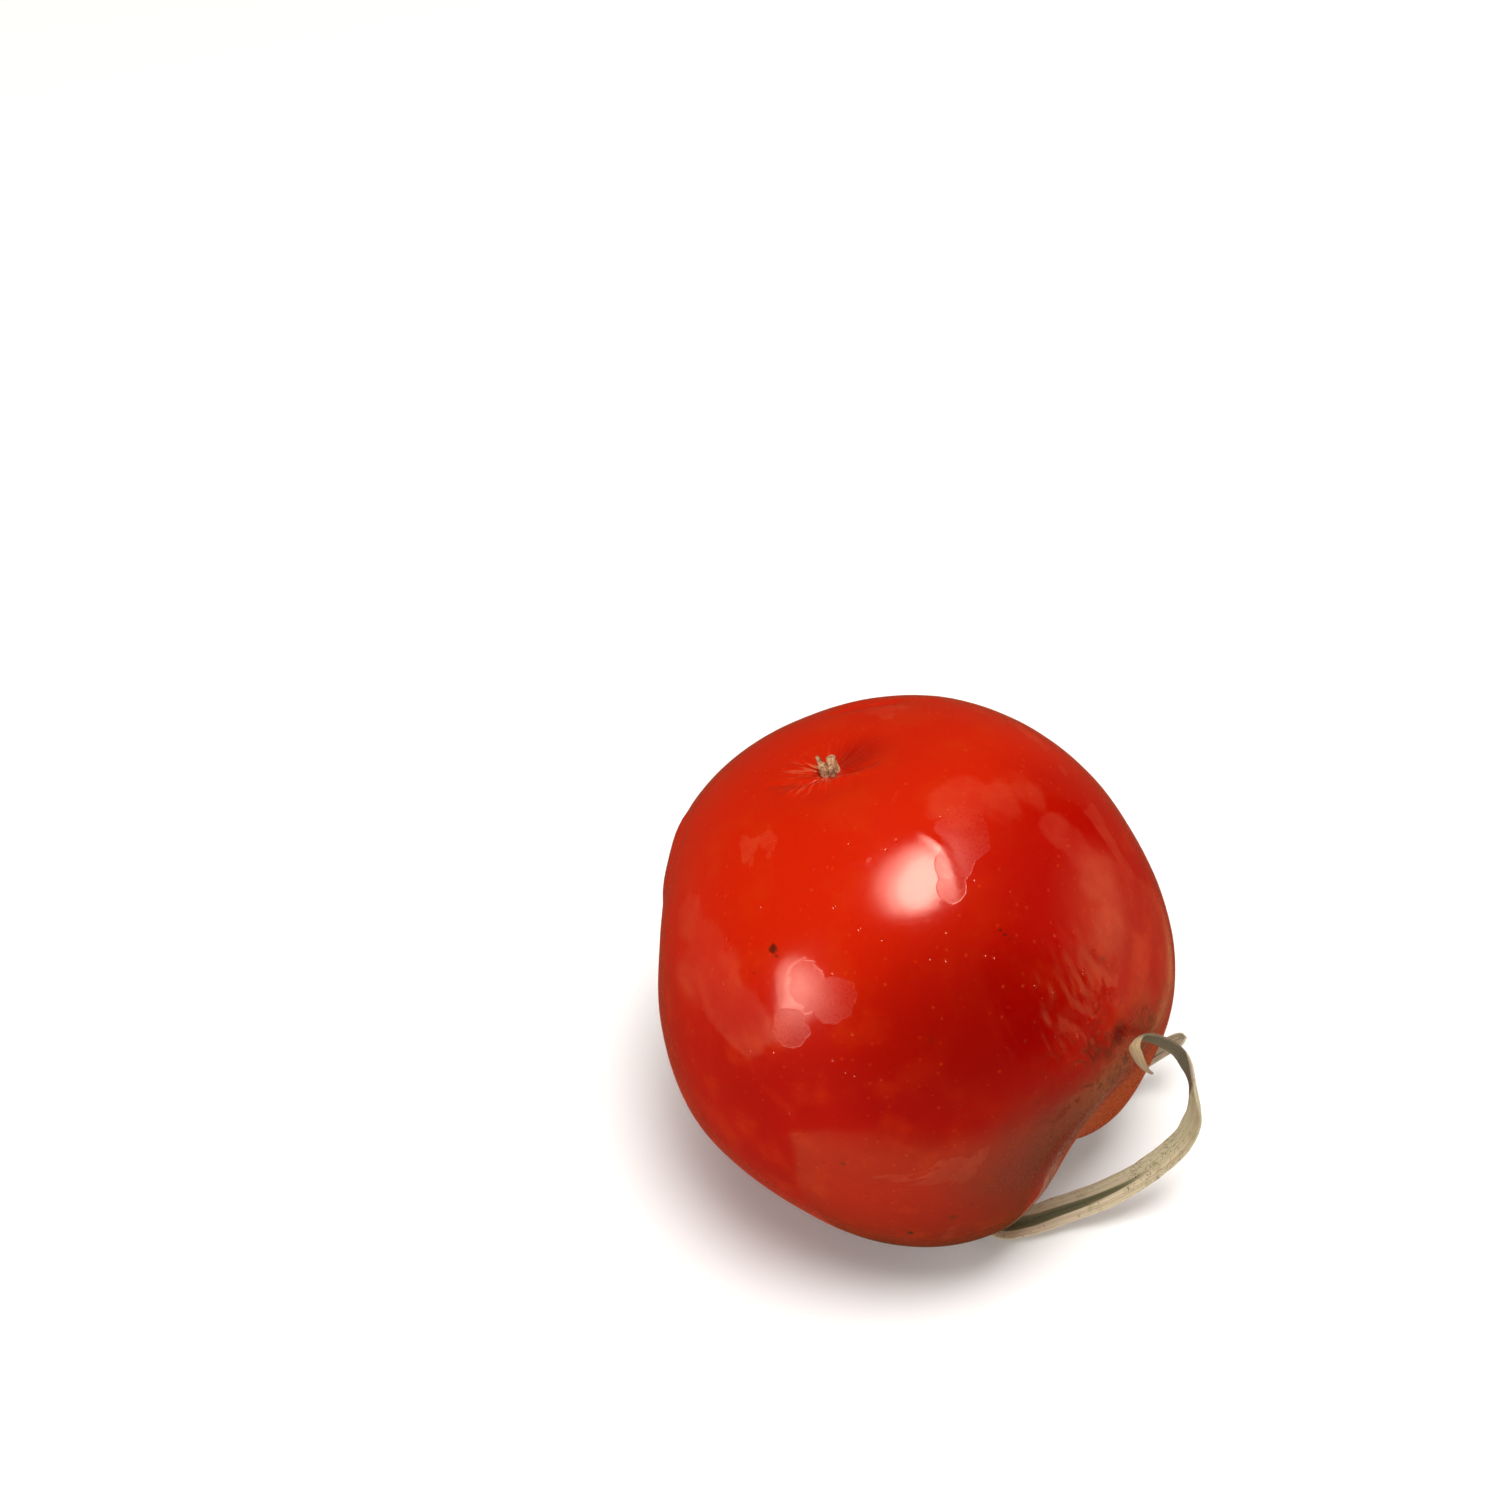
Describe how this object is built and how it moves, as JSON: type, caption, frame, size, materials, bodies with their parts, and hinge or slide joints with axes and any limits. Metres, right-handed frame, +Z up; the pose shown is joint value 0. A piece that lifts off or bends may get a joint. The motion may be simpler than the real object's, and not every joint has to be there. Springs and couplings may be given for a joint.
{
  "type": "tomato",
  "caption": "Ripe round red tomato with a dried calyx, lying on one shoulder with a long curled sepal beside it.",
  "frame": {"origin": "middle of the small flat spot on the fruit's shoulder that it rests on", "axes": "+Z up from the surface it lies on, with the blossom end up, to the left and a little to the back; +X to the right, towards the second sepal's tip; -Y to the front, where the long sepal comes out"},
  "size_m": [0.0734, 0.0699, 0.0713],
  "materials": {
    "fruit_skin": "gloss",
    "cork": "matte",
    "dried_calyx": "matte",
    "dried_stalk": "matte",
    "dried_sepal": "matte"
  },
  "bodies": {
    "root": {"fruit": "fruit_skin", "style_scar": "cork", "calyx_disc": "dried_calyx", "pedicel_stub": "dried_stalk", "sepal_1": "dried_sepal", "sepal_2": "dried_sepal", "sepal_3": "dried_sepal", "sepal_4": "dried_sepal", "sepal_5": "dried_sepal"}
  },
  "joints": []
}
